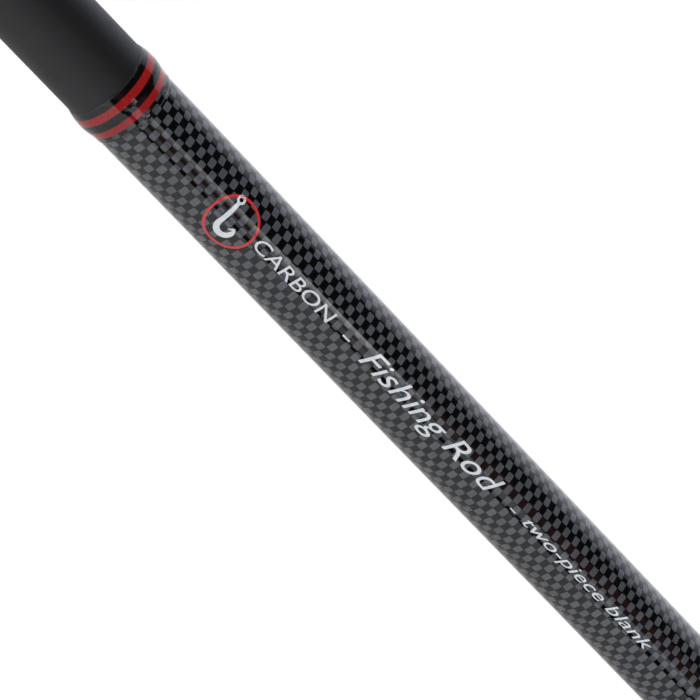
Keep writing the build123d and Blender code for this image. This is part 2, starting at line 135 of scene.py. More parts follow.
# ---- Grips: (x, radius) where the straight stretch ends, at the waist and at the tip end; rounded rims
GRIPS = [
    (
        "rear_grip",
        ((170.0 * MM, 14.0 * MM), (240.0 * MM, 12.3 * MM), (304.0 * MM, 13.4 * MM)),
        (1.0 * MM, 0.6 * MM),
    ),
    (
        "foregrip",
        ((451.5 * MM, 13.4 * MM), (481.5 * MM, 12.4 * MM), (529.5 * MM, 9.4 * MM)),
        (0.8 * MM, 0.3 * MM),
    ),
]

# ---- Guides -------------------------------------------------------------------------
GUIDE_SIZES = [30.0 * MM, 20.0 * MM, 16.0 * MM, 12.0 * MM, 10.0 * MM, 8.0 * MM, 8.0 * MM]
TWO_FOOT_FROM = 16.0 * MM
WRAP_COVER = 0.4 * MM
WRAP_EDGE = 0.03 * MM  # thickness at a wrap's ends
WRAP_ROUNDING = 1.2 * MM  # length of a wrap's rounded end
WRAP_STEP = 0.3 * MM


# ==== Meshes ===========================================================================
def interpolate(stations, x):
    """Value at x on a list of (x, value) stations."""
    for (xa, ra), (xb, rb) in zip(stations, stations[1:]):
        if x <= xb:
            return ra + (rb - ra) * (x - xa) / (xb - xa)
    return stations[-1][1]


def blank_radius(x):
    return interpolate(TIP_STATIONS if x >= TIP_STATIONS[0][0] else BUTT_STATIONS, x)


def smoothstep(t):
    t = min(1.0, max(0.0, t))
    return t * t * (3.0 - 2.0 * t)


def new_object(name, mesh, materials):
    made = bpy.data.objects.new(name, mesh)
    for material in materials:
        mesh.materials.append(material)
    bpy.context.scene.collection.objects.link(made)
    return made


def place(piece, body, slot_name, *nodes):
    """Hangs a piece on its body and hides the CAD nodes it stands for. slot_name is not used."""
    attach(piece, body)
    if nodes:
        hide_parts(*nodes)
    return piece


def lathe(name, loop, materials, divisions=ROUND, material_of=None, sharp=35.0):
    """A solid turned about the rod's axis from a closed loop of (x, radius) points, none on the axis."""
    rings = [(x, [r] * divisions) for x, r in loop]
    return turned_rings(name, rings, materials, material_of, sharp)


def turned_rings(name, rings, materials, material_of=None, sharp=35.0):
    """A solid from a closed loop of rings: each is its x, and its radii at even turns from straight above."""
    divisions = len(rings[0][1])
    points = []
    for x, radii in rings:
        for k, r in enumerate(radii):
            turn = 2 * math.pi * k / divisions
            points.append((x, r * math.sin(turn), r * math.cos(turn)))
    faces, indices = [], []
    for i in range(len(rings)):
        j = (i + 1) % len(rings)
        for k in range(divisions):
            n = (k + 1) % divisions
            faces.append((i * divisions + k, i * divisions + n, j * divisions + n, j * divisions + k))
            indices.append(material_of((rings[i][0] + rings[j][0]) / 2, i) if material_of else 0)
    mesh = bpy.data.meshes.new(name)
    mesh.from_pydata(points, [], faces)
    mesh.polygons.foreach_set("material_index", indices)
    finish_mesh(mesh, sharp)
    return new_object(name, mesh, materials)


def finish_mesh(mesh, sharp):
    """Faces turned outwards, and smooth shading that breaks at edges sharper than the given degrees."""
    work = bmesh.new()
    work.from_mesh(mesh)
    bmesh.ops.recalc_face_normals(work, faces=work.faces)
    work.to_mesh(mesh)
    work.free()
    mesh.shade_smooth()
    mesh.set_sharp_from_angle(angle=math.radians(sharp))
    mesh.update()


def spaced(x0, x1, spacing):
    """Places from x0 to x1, evenly spaced and no further apart than the spacing."""
    count = max(1, math.ceil(abs(x1 - x0) / spacing))
    return [x0 + (x1 - x0) * k / count for k in range(count + 1)]


# ==== Nodes ============================================================================
def node(tree, kind, inputs=None, **settings):
    """Adds a shader node. inputs maps a socket's name or number to a value or another node's output."""
    made = tree.nodes.new("ShaderNode" + kind)
    for name, value in settings.items():
        setattr(made, name, value)
    for key, value in (inputs or {}).items():
        if isinstance(value, bpy.types.NodeSocket):
            tree.links.new(value, made.inputs[key])
        else:
            made.inputs[key].default_value = value
    return made


def calc(tree, operation, *values, clamp=False):
    """One Math node's result."""
    made = node(tree, "Math", dict(enumerate(values)), operation=operation, use_clamp=clamp)
    return made.outputs[0]


def blend_color(tree, factor, a, b, mode="MIX"):
    """One colour Mix node's result."""
    made = node(tree, "Mix", data_type="RGBA", blend_type=mode)
    for socket, value in ((made.inputs[0], factor), (made.inputs[6], a), (made.inputs[7], b)):
        if isinstance(value, bpy.types.NodeSocket):
            tree.links.new(value, socket)
        else:
            socket.default_value = value
    return made.outputs[2]


def between(tree, value, low, high, out_low=0.0, out_high=1.0, smooth=False):
    """Value mapped from one range to another, and held at its ends."""
    kind = "SMOOTHSTEP" if smooth else "LINEAR"
    ends = {0: value, 1: low, 2: high, 3: out_low, 4: out_high}
    return node(tree, "MapRange", ends, interpolation_type=kind).outputs[0]


def place_axes(tree):
    """(x, y, z) of the place in the frame's metres, and the vector itself."""
    vector = node(tree, "TexCoord").outputs["Object"]
    split = node(tree, "SeparateXYZ", {0: vector})
    return split.outputs[0], split.outputs[1], split.outputs[2], vector


def noise(tree, vector, size, detail=3.0, roughness=0.55):
    """Noise from 0 to 1 whose features are about as big as size."""
    made = node(
        tree,
        "TexNoise",
        {"Vector": vector, "Scale": 1.0 / size, "Detail": detail, "Roughness": roughness},
    )
    return made.outputs["Fac"]


def scaled(tree, vector, factors):
    """The vector with each axis scaled on its own."""
    return node(tree, "VectorMath", {0: vector, 1: factors}, operation="MULTIPLY").outputs[0]


def off_middle(tree, value):
    """How far a value lies from the middle of its unit cell: 0 in the middle, 1 at the edges."""
    from_middle = calc(tree, "SUBTRACT", calc(tree, "FRACT", value), 0.5)
    return calc(tree, "MULTIPLY", calc(tree, "ABSOLUTE", from_middle), 2.0)


def gray_of(tree, value):
    """A colour with the same value in all three channels."""
    return node(tree, "CombineColor", {0: value, 1: value, 2: value}).outputs[0]


def bump(tree, height, distance, strength=1.0):
    return node(tree, "Bump", {"Height": height, "Distance": distance, "Strength": strength}).outputs[0]


def gray(value):
    return (value, value, value, 1.0)


def finish_material(name, **sockets):
    """A new Principled material with the uniform values given, by socket name with underscores for spaces."""
    material = bpy.data.materials.new(name)
    material.use_nodes = True
    tree = material.node_tree
    shader = tree.nodes["Principled BSDF"]
    for key, value in sockets.items():
        shader.inputs[key.replace("_", " ")].default_value = value
    return material, tree, shader


def connect(tree, shader, **sources):
    for key, source in sources.items():
        tree.links.new(source, shader.inputs[key.replace("_", " ")])


# ==== Materials ========================================================================
def weave_place(tree):
    """How many cells a place lies from the weave's start, along the rod and round it."""
    x, y, z, _ = place_axes(tree)
    turn = calc(tree, "SUBTRACT", calc(tree, "ARCTAN2", y, z), WEAVE_TURN)
    from_middle = calc(tree, "SUBTRACT", x, WEAVE_MIDDLE)
    from_full = calc(tree, "SUBTRACT", x, WEAVE_FULL)
    closed = calc(tree, "MULTIPLY_ADD", calc(tree, "POWER", from_full, 2.0), WEAVE_CLOSING, from_middle)
    slid = calc(tree, "MULTIPLY_ADD", turn, WEAVE_SLANT * WEAVE_RADIUS, closed)
    along = calc(tree, "DIVIDE", calc(tree, "SUBTRACT", slid, WEAVE_START), CELL_LENGTH)
    climbed = calc(tree, "MULTIPLY_ADD", from_middle, -WEAVE_SLANT / WEAVE_RADIUS, turn)
    around = calc(tree, "MULTIPLY", climbed, CELLS_ROUND / (2 * math.pi))
    return along, around


def tow_tone(tree, along, around, cell):
    """(brightness, fibres) of the tows: fine lines along the fibres, and a tone for each cell."""
    chance = node(tree, "TexWhiteNoise", {"Vector": cell}, noise_dimensions="3D").outputs["Value"]
    across, lengthwise = calc(tree, "MULTIPLY", along, 16.0), calc(tree, "MULTIPLY", around, 1.1)
    tow = node(tree, "CombineXYZ", {0: across, 1: lengthwise, 2: chance}).outputs[0]
    fibres = node(tree, "TexNoise", {"Vector": tow, "Scale": 1.0, "Detail": 2.0}).outputs["Fac"]
    fine = between(tree, fibres, 0.3, 0.7, 0.78, 1.18)
    broad = between(tree, chance, 0.0, 1.0, 0.86, 1.1)
    return calc(tree, "MULTIPLY", fine, broad), fibres


def woven_carbon(name, coat):
    """Checker weave of carbon tows under a smooth clear coat of the given weight."""
    material, tree, shader = finish_material(
        name, Roughness=0.5, Specular_IOR_Level=0.0, Coat_Weight=coat, Coat_Roughness=0.02, Coat_IOR=1.5
    )
    along, around = weave_place(tree)
    column, row = calc(tree, "FLOOR", along), calc(tree, "FLOOR", around)
    odd = calc(tree, "FLOORED_MODULO", calc(tree, "ADD", column, row), 2.0)
    off_x, off_v = off_middle(tree, along), off_middle(tree, around)
    corner = calc(tree, "ADD", calc(tree, "POWER", off_x, 7.0), calc(tree, "POWER", off_v, 7.0))
    inside = between(tree, corner, 1.0, 0.55, smooth=True)
    light = calc(tree, "MULTIPLY", inside, odd)
    cell = node(tree, "CombineXYZ", {0: column, 1: row, 2: 0.0}).outputs[0]
    shade, fibres = tow_tone(tree, along, around, cell)
    tow_color = blend_color(tree, 1.0, LIGHT_TOW, gray_of(tree, shade), "MULTIPLY")
    squares = calc(tree, "ADD", calc(tree, "POWER", off_x, 2.0), calc(tree, "POWER", off_v, 2.0))
    crown = calc(tree, "SUBTRACT", 1.0, calc(tree, "MULTIPLY", squares, 0.5))
    height = calc(tree, "ADD", crown, calc(tree, "MULTIPLY", fibres, 0.15))
    connect(
        tree,
        shader,
        Base_Color=blend_color(tree, light, DARK_TOW, tow_color),
        Metallic=calc(tree, "MULTIPLY", light, 0.4),
        Normal=bump(tree, height, 0.05 * MM, 0.6),
    )
    return material


def matte_lacquer():
    """Satin black lacquer with a faint unevenness."""
    material, tree, shader = finish_material("matte_lacquer")
    _, _, _, vector = place_axes(tree)
    fine = noise(tree, vector, 0.35 * MM, 4.0)
    color = blend_color(tree, fine, (0.0034, 0.0037, 0.0054, 1.0), (0.0050, 0.0054, 0.0076, 1.0))
    connect(
        tree,
        shader,
        Base_Color=color,
        Roughness=between(tree, noise(tree, vector, 2.0 * MM), 0.3, 0.7, 0.50, 0.56),
        Normal=bump(tree, fine, 0.01 * MM, 0.25),
    )
    return material


def thread(name, color_low, color_high):
    """Wound nylon thread: bright and dull patches along each turn."""
    material, tree, shader = finish_material(name, Specular_IOR_Level=0.0)
    x, y, z, _ = place_axes(tree)
    turn = calc(tree, "DIVIDE", x, THREAD_PITCH)
    around = calc(tree, "MULTIPLY", calc(tree, "ARCTAN2", y, z), 24.0)
    strand = node(tree, "CombineXYZ", {0: turn, 1: around, 2: 0.0}).outputs[0]
    patches = node(tree, "TexNoise", {"Vector": strand, "Scale": 0.9, "Detail": 3.0}).outputs["Fac"]
    connect(
        tree,
        shader,
        Base_Color=blend_color(tree, between(tree, patches, 0.3, 0.72), color_low, color_high),
        Roughness=between(tree, patches, 0.3, 0.7, 0.6, 0.42),
        Normal=bump(tree, patches, 0.02 * MM, 0.4),
    )
    return material


def epoxy_film():
    """Clear epoxy: what is under it shows, bent and a little enlarged, and its surface reflects."""
    material, tree, shader = finish_material(
        "epoxy_film", Base_Color=gray(1.0), Roughness=0.02, IOR=1.5, Transmission_Weight=1.0
    )
    _, _, _, vector = place_axes(tree)
    connect(tree, shader, Normal=bump(tree, noise(tree, vector, 1.6 * MM, 1.0), 0.03 * MM, 0.3))
    return material


def clear_inside():
    """The underside of a clear film, where it wets what it covers and neither bends nor reflects light."""
    return finish_material("clear_inside", Alpha=0.0, Specular_IOR_Level=0.0)[0]


def print_ink(name, color):
    """Printed ink under the clear coat, with a slightly uneven edge to its cover."""
    material, tree, shader = finish_material(
        name, Roughness=0.45, Specular_IOR_Level=0.2, Coat_Weight=1.0, Coat_Roughness=0.03
    )
    _, _, _, vector = place_axes(tree)
    cover = noise(tree, vector, 0.25 * MM, 3.0)
    low = tuple(0.86 * c for c in color[:3]) + (1.0,)
    connect(tree, shader, Base_Color=blend_color(tree, between(tree, cover, 0.35, 0.65), low, color))
    return material


def coated_black(name, low, high, rough, grain_size, grain_depth, **sockets):
    """A dark moulded or foamed finish with a grain of its own size."""
    material, tree, shader = finish_material(name, **sockets)
    _, _, _, vector = place_axes(tree)
    grain = noise(tree, vector, grain_size, 4.0, 0.6)
    broad = noise(tree, vector, 14.0 * grain_size, 2.0)
    connect(
        tree,
        shader,
        Base_Color=blend_color(tree, between(tree, grain, 0.3, 0.7), low, high),
        Roughness=between(tree, broad, 0.3, 0.7, rough[0], rough[1]),
        Normal=bump(tree, grain, grain_depth, 0.6),
    )
    return material


def turned_metal(name, color, rough, lines, **sockets):
    """Metal with the fine rings that turning or brushing round the axis leaves."""
    material, tree, shader = finish_material(name, Metallic=1.0, **sockets)
    _, _, _, vector = place_axes(tree)
    rings = noise(tree, scaled(tree, vector, (1.0, 0.06, 0.06)), lines, 3.0)
    smudge = noise(tree, vector, 6.0 * MM, 3.0)
    darker = tuple(0.8 * c for c in color[:3]) + (1.0,)
    connect(
        tree,
        shader,
        Base_Color=blend_color(tree, between(tree, rings, 0.3, 0.7), darker, color),
        Roughness=between(tree, smudge, 0.3, 0.7, rough[0], rough[1]),
        Normal=bump(tree, rings, 0.01 * MM, 0.4),
    )
    return material


def gloss_blank():
    """Clear-coated unidirectional carbon: near black, with fine lines along it."""
    material, tree, shader = finish_material(
        "gloss_blank", Specular_IOR_Level=0.2, Coat_Weight=1.0, Coat_Roughness=0.03, Coat_IOR=1.5
    )
    _, _, _, vector = place_axes(tree)
    lines = noise(tree, scaled(tree, vector, (0.02, 1.0, 1.0)), 0.22 * MM, 3.0)
    light = (0.014, 0.015, 0.017, 1.0)
    connect(
        tree,
        shader,
        Base_Color=blend_color(tree, between(tree, lines, 0.35, 0.7), gray(0.003), light),
        Roughness=between(tree, lines, 0.3, 0.7, 0.35, 0.5),
        Normal=bump(tree, lines, 0.01 * MM, 0.3),
    )
    return material


def wound_wrap():
    """Black thread wound over a guide foot, under gloss epoxy, with painted shade in the grooves between
    turns.
    """
    material, tree, shader = finish_material(
        "wound_wrap", Specular_IOR_Level=0.3, Coat_Weight=1.0, Coat_Roughness=0.03, Coat_IOR=1.5
    )
    x, _, _, vector = place_axes(tree)
    turn = calc(tree, "FRACT", calc(tree, "DIVIDE", x, 0.2 * MM))
    crown = calc(tree, "SINE", calc(tree, "MULTIPLY", turn, math.pi))
    patches = noise(tree, vector, 0.5 * MM, 3.0)
    # Painted shade: the colour is lighter on the crown of each turn and darker in the grooves between turns,
    # times random patches.
    shade = calc(tree, "MULTIPLY", crown, patches)
    connect(
        tree,
        shader,
        Base_Color=blend_color(tree, shade, gray(0.002), (0.02, 0.02, 0.022, 1.0)),
        Roughness=between(tree, patches, 0.3, 0.7, 0.4, 0.6),
        Normal=bump(tree, crown, 0.05 * MM, 0.5),
    )
    return material


MATERIALS = {
    "blank_carbon": woven_carbon("woven_carbon", 1.0),
    "tip_carbon": gloss_blank(),
    "eva_foam": coated_black("eva_foam", gray(0.012), gray(0.03), (0.82, 0.92), 0.45 * MM, 0.12 * MM),
    "seat_plastic": coated_black("seat_plastic", gray(0.008), gray(0.014), (0.34, 0.46), 0.3 * MM, 0.02 * MM),
    "hood_metal": turned_metal("hood_metal", (0.16, 0.165, 0.175, 1.0), (0.2, 0.3), 0.25 * MM),
    "trim_metal": turned_metal("trim_metal", (0.42, 0.022, 0.026, 1.0), (0.2, 0.3), 0.12 * MM),
    "dark_metal": turned_metal("dark_metal", (0.07, 0.072, 0.078, 1.0), (0.25, 0.35), 0.15 * MM),
    "cap_rubber": coated_black("cap_rubber", gray(0.012), gray(0.022), (0.6, 0.75), 0.5 * MM, 0.05 * MM),
    "arbor_plastic": coated_black("arbor_plastic", gray(0.42), gray(0.5), (0.6, 0.7), 0.5 * MM, 0.03 * MM),
    "liner": coated_black("liner", gray(0.02), gray(0.03), (0.5, 0.6), 0.3 * MM, 0.02 * MM),
    "black_thread": thread("black_thread", gray(0.0012), gray(0.004)),
    "red_thread": thread("red_thread", (0.25, 0.010, 0.011, 1.0), (0.66, 0.024, 0.025, 1.0)),
    "epoxy": epoxy_film(),
    "guide_wrap": wound_wrap(),
    "guide_frame": turned_metal("guide_frame", (0.10, 0.102, 0.108, 1.0), (0.16, 0.28), 0.3 * MM),
    "ring_ceramic": coated_black("ring_ceramic", gray(0.09), gray(0.12), (0.06, 0.12), 0.4 * MM, 0.002 * MM),
    "cushion": coated_black("cushion", gray(0.02), gray(0.03), (0.5, 0.6), 0.3 * MM, 0.02 * MM),
}
MATTE_LACQUER = matte_lacquer()
WEAVE_IN_EPOXY = woven_carbon("weave_in_epoxy", 0.0)
CLEAR_INSIDE = clear_inside()
WHITE_INK = print_ink("white_ink", (0.53, 0.56, 0.59, 1.0))
RED_INK = print_ink("red_ink", (0.45, 0.012, 0.018, 1.0))


def paint_cad_nodes():
    """Every CAD node takes the finish of its own slot."""
    for cad_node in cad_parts.values():
        for material_slot in cad_node.material_slots:
            material_slot.material = MATERIALS[material_slot.material.name.split(".")[0]]


# ==== Blanks ===========================================================================
def stations_between(stations, x0, x1):
    """The (x, radius) points of a blank's side, close enough together to carry smooth shading."""
    places = sorted({x0, x1, *(x for x, _ in stations if x0 < x < x1)})
    points = []
    for xa, xb in zip(places, places[1:]):
        points += [(x, interpolate(stations, x)) for x in spaced(xa, xb, RING_SPACING)[:-1]]
    return points + [(x1, interpolate(stations, x1))]


def butt_blank():
    """One tube, matte behind the trim wrap and woven carbon ahead of it."""
    start, end = BUTT_STATIONS[0][0], BUTT_STATIONS[-1][0]
    outer = stations_between(BUTT_STATIONS, start, FINISH_BORDER)
    outer += stations_between(BUTT_STATIONS, FINISH_BORDER, WRAP_END)[1:]
    outer += stations_between(BUTT_STATIONS, WRAP_END, end)[1:]
    bore = [(x, interpolate(BUTT_STATIONS, x) - BUTT_WALL) for x in (end, start)]

    finishes = [MATERIALS["blank_carbon"], MATTE_LACQUER, WEAVE_IN_EPOXY]

    def finish_of(x, _):
        if x < FINISH_BORDER:
            return 1
        return 2 if x < WRAP_END else 0

    blank = lathe("butt_blank_visual", outer + bore, finishes, material_of=finish_of)
    return place(blank, "butt_section", "blank_carbon", "butt_blank")


def tip_blank():
    start, end = TIP_STATIONS[0][0], TIP_STATIONS[-1][0]
    outer = stations_between(TIP_STATIONS, start, end)
    after_joint = FERRULE_END + 12.0 * MM
    bore = [
        (end, TIP_STATIONS[-1][1] - TIP_WALL),
        (after_joint, interpolate(TIP_STATIONS, after_joint) - TIP_WALL - 0.25 * MM),
        (FERRULE_END + 2.0 * MM, interpolate(BUTT_STATIONS, FERRULE_END) + FERRULE_GAP),
        (start, interpolate(BUTT_STATIONS, start) + FERRULE_GAP),
    ]
    blank = lathe("tip_blank_visual", outer + bore, [MATERIALS["tip_carbon"]], divisions=ROUND_FAR)
    return place(blank, "tip_section", "tip_carbon", "tip_blank")


# ==== Trim wrap ========================================================================
def thread_spans():
    spans, x = [], WRAP_START + THREAD_LEAD
    for width in THREAD_WIDTHS:
        spans.append((x, x + width))
        x += width
    return spans


def wound_ring(name, span, material):
    """Turns of thread side by side, each one rounded."""
    x0, x1 = span
    turns = round((x1 - x0) / THREAD_PITCH)
    pitch = (x1 - x0) / turns
    loop = []
    for turn in range(turns):
        for step in range(4):
            share = step / 4.0
            x = x0 + (turn + share) * pitch
            rise = THREAD_HEIGHT - THREAD_GROOVE * (1.0 - math.sin(math.pi * share))
            loop.append((x, blank_radius(x) + rise))
    loop.append((x1, blank_radius(x1) + THREAD_HEIGHT - THREAD_GROOVE))
    loop += [(x, blank_radius(x) + 2 * HAIR) for x in (x1, x0)]
    return lathe(name, loop, [material], sharp=80.0)


def join(name, pieces):
    """Several meshes as one piece."""
    work = bmesh.new()
    for piece in pieces:
        work.from_mesh(piece.data)
    mesh = bpy.data.meshes.new(name)
    work.to_mesh(mesh)
    work.free()
    mesh.set_sharp_from_angle(angle=math.radians(80.0))
    made = new_object(name, mesh, [pieces[0].data.materials[0]])
    for piece in pieces:
        bpy.data.objects.remove(piece)
    return made


def trim_threads():
    spans = thread_spans()
    for color, picked in (("black", spans[0::2]), ("red", spans[1::2])):
        material = MATERIALS[color + "_thread"]
        rings = [wound_ring(f"{color}_ring_{k}", span, material) for k, span in enumerate(picked)]
        name = {"black": "trim_wrap_black_thread", "red": "trim_wrap_red_bands"}[color]
        place(join(name + "_visual", rings), "butt_section", color + "_thread", name)


def coat_rise(share):
    """Height of the clear coat at a share of its length: a smooth dome, blunt at its tip end."""
    peak, lip, edge = 0.44, 0.93, 0.02 * MM
    lip_height = 0.12 * MM
    if share < peak:
        return edge + (WRAP_HEIGHT - edge) * (1.0 - (1.0 - share / peak) ** 2) ** 0.65
    if share < lip:
        return WRAP_HEIGHT + (lip_height - WRAP_HEIGHT) * smoothstep((share - peak) / (lip - peak))
    round_off = (share - lip) / (1.0 - lip)
    return edge + (lip_height - edge) * math.sqrt(max(0.0, 1.0 - round_off**2))


def trim_coat():
    """The domed epoxy over the threads: a shell whose outer side reflects."""
    steps = 48
    outer = []
    for k in range(steps + 1):
        x = WRAP_START + (WRAP_END - WRAP_START) * k / steps
        outer.append((x, blank_radius(x) + coat_rise(k / steps)))
    spans = thread_spans()
    x0, x1 = spans[0][0], spans[-1][1]
    over = THREAD_HEIGHT + HAIR
    steps_in = [(WRAP_END, HAIR), (x1, HAIR), (x1, over), (x0, over), (x0, HAIR), (WRAP_START, HAIR)]
    inner = [(x, blank_radius(x) + rise) for x, rise in steps_in]

    def side_of(_, index):
        return 0 if index < steps else 1

    finishes = [MATERIALS["epoxy"], CLEAR_INSIDE]
    shell = lathe("trim_wrap_coat_visual", outer + inner, finishes, material_of=side_of, sharp=60.0)
    return place(shell, "butt_section", "epoxy", "trim_wrap_coat")


# ==== Grips ==============================================================================
def grip_side(straight_end, start_radius, waist, end, end_radius):
    """(x, radius) points of a grip's hollow side: straight at first, then smooth through its waist."""
    h1, h2 = waist[0] - straight_end, end - waist[0]
    rise1, rise2 = waist[1] - start_radius, end_radius - waist[1]
    slope = 1.5 * (rise1 / h1**2 + rise2 / h2**2) / (1.0 / h1 + 1.0 / h2)
    points = []
    for t in spaced(0.0, 1.0, 1.0 / 16)[:-1]:
        bend = rise1 * smoothstep(t) + slope * h1 * (t**3 - t**2)
        points.append((straight_end + h1 * t, start_radius + bend))
    for t in spaced(0.0, 1.0, 1.0 / 16):
        bend = rise2 * smoothstep(t) + slope * h2 * (t**3 - 2 * t**2 + t)
        points.append((waist[0] + h2 * t, waist[1] + bend))
    return points


def rounded_rim(x, radius, size, facing):
    """A quarter round between a turned piece's end face and its side. facing is -1 at the butt end."""
    turn = [math.radians(90.0 * k / 6) for k in range(7)][::-facing]
    return [(x - facing * size * (1.0 - math.cos(a)), radius - size * (1.0 - math.sin(a))) for a in turn]


def grip(name, side, rims):
    """Turned EVA foam with its rims sanded round."""
    x0, x1 = (corner.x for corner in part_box(name))
    outer = rounded_rim(x0, side[0][1], rims[0], -1) + side + rounded_rim(x1, side[-1][1], rims[1], 1)
    bore = [(x, blank_radius(x) + GLUE_GAP) for x in (x1, x0)]
    made = lathe(name + "_visual", outer + bore, [MATERIALS["eva_foam"]])
    return place(made, "butt_section", "eva_foam", name)


def grips():
    for name, (straight_end, waist, end), rims in GRIPS:
        grip(name, grip_side(*straight_end, waist, *end), rims)


# ==== Guide wraps ========================================================================
def swell(x, x0, x1):
    """Share of a wrap's full thickness at x: the varnish rounds off towards its ends."""
    t = min(1.0, max(0.0, min(x - x0, x1 - x) / WRAP_ROUNDING))
    return math.sqrt(1.0 - (1.0 - t) ** 2)


def hull_radius(theta, blank, foot, drop):
    """Distance from the rod's axis to thread pulled tight round the blank and a foot under it.

    theta is the turn from straight below, drop the depth of the foot's middle line under the axis.
    """
    theta = abs(theta)
    if drop + foot <= blank or drop <= abs(blank - foot):
        return max(blank, drop + foot) if theta < 1e-6 else blank
    free = math.acos((blank - foot) / drop)
    on_foot = math.atan2(foot * math.sin(free), drop + foot * math.cos(free))
    if theta > free:
        return blank
    if theta > on_foot:
        return blank / math.cos(free - theta)
    return drop * math.cos(theta) + math.sqrt(max(0.0, foot**2 - (drop * math.sin(theta)) ** 2))


def foot_span(x, size, side):
    """(inner end, tip) of a guide's foot, on the given side of the ring, as in the frame's design."""
    reach = 0.62 * size if size >= TWO_FOOT_FROM else 0.5 * size + 1.0 * MM
    length = 7.0 * MM + 0.24 * size
    return x + side * reach, x + side * (reach + length)


def foot_wrap(name, x, size, side):
    """The wrap over one foot of a guide."""
    near, tip = foot_span(x, size, side)
    wire = 0.5 * MM + 0.017 * size
    drop = blank_radius((near + tip) / 2) + 0.6 * wire
    start, end = near + side * 1.0 * MM, tip + side * 2.5 * MM
    x0, x1 = sorted((start, end))
    from_below = [2 * math.pi * k / ROUND_FAR - math.pi for k in range(ROUND_FAR)]
    rings = []
    for place_x in spaced(x0, x1, WRAP_STEP):
        along = (place_x - start) / (end - start)
        cover = WRAP_EDGE + (WRAP_COVER - WRAP_EDGE) * swell(place_x, x0, x1)
        foot = (1.3 + (0.5 - 1.3) * along) * wire + cover * (1.0 - 0.5 * along)
        blank = blank_radius(place_x) + cover
        rings.append((place_x, [hull_radius(turn, blank, foot, drop) for turn in from_below]))
    for place_x in (x1, x0):
        rings.append((place_x, [blank_radius(place_x) + HAIR] * ROUND_FAR))
    return turned_rings(name, rings, [MATERIALS["guide_wrap"]])


def guide_wraps():
    for number, size in enumerate(GUIDE_SIZES, start=1):
        low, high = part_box(f"guide_{number}_ring")
        sides = (-1, 1) if size >= TWO_FOOT_FROM else (1,)
        wraps = [foot_wrap(f"wrap_{side}", (low.x + high.x) / 2, size, side) for side in sides]
        node_name = f"guide_{number}_wraps"
        body = "butt_section" if high.x < FERRULE_END else "tip_section"
        place(join(node_name + "_visual", wraps), body, "guide_wrap", node_name)


def sleeve_wrap(name, thickness, slot_name):
    """An even wrap round the blank with rounded ends."""
    x0, x1 = (corner.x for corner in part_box(name))
    places = spaced(x0, x1, WRAP_STEP)
    loop = [(x, blank_radius(x) + 2 * HAIR + thickness * swell(x, x0, x1)) for x in places]
    loop += [(x, blank_radius(x) + HAIR) for x in (x1, x0)]
    made = lathe(name + "_visual", loop, [MATERIALS[slot_name]], divisions=ROUND_FAR)
    return place(made, "tip_section", slot_name, name)


# ==== Printed marks ======================================================================
INK_TOP, INK_BOTTOM = 0.032 * MM, -0.008 * MM  # of the ink, over the blank's surface
STRIP = 0.25 * MM  # greatest width of a flat strip bent round the blank


def wrap_on_blank(mesh, x, angle):
    """Bends a flat mesh round the blank. Its own origin goes to x and the angle from +Z towards +Y."""
    work = bmesh.new()
    work.from_mesh(mesh)
    ys = [v.co.y for v in work.verts]
    for y in spaced(min(ys), max(ys), STRIP)[1:-1]:
        bmesh.ops.bisect_plane(
            work,
            geom=work.verts[:] + work.edges[:] + work.faces[:],
            plane_co=(0.0, y, 0.0),
            plane_no=(0.0, 1.0, 0.0),
        )
    for v in work.verts:
        place_x = x + v.co.x
        radius = blank_radius(place_x)
        turn = angle + v.co.y / radius
        radius += v.co.z
        v.co = (place_x, radius * math.sin(turn), radius * math.cos(turn))
    work.to_mesh(mesh)
    work.free()
    finish_mesh(mesh, 40.0)


def lettering(name, text, size, start, angle, length, shear):
    """Words printed along the blank, their tops towards +Y, fitted to the given length."""
    curve = bpy.data.curves.new(name, "FONT")
    curve.body = text
    curve.size = 1.0
    curve.shear = shear
    curve.align_y = "CENTER"
    curve.resolution_u = 4
    words = bpy.data.objects.new(name, curve)
    bpy.context.scene.collection.objects.link(words)
    words.data.extrude = 0.01
    depsgraph = bpy.context.evaluated_depsgraph_get()
    mesh = bpy.data.meshes.new_from_object(words.evaluated_get(depsgraph))
    bpy.data.objects.remove(words)
    xs = [v.co.x for v in mesh.vertices]
    stretch = length / (max(xs) - min(xs))
    left = min(xs)
    for v in mesh.vertices:
        z = INK_TOP if v.co.z > 0.0 else INK_BOTTOM
        v.co = ((v.co.x - left) * stretch, v.co.y * size, z)
    mesh.materials.clear()
    wrap_on_blank(mesh, start, angle)
    return place(new_object(name, mesh, [WHITE_INK]), "butt_section", "blank_carbon")


def stroke(points, widths):
    """A flat band of changing width along a line of points, as a closed thin plate."""
    left, right = [], []
    for i, (x, y) in enumerate(points):
        xa, ya = points[max(0, i - 1)]
        xb, yb = points[min(len(points) - 1, i + 1)]
        along = Vector((xb - xa, yb - ya)).normalized()
        side = Vector((-along.y, along.x)) * widths[i] / 2
        left.append((x + side.x, y + side.y))
        right.append((x - side.x, y - side.y))
    return left, right


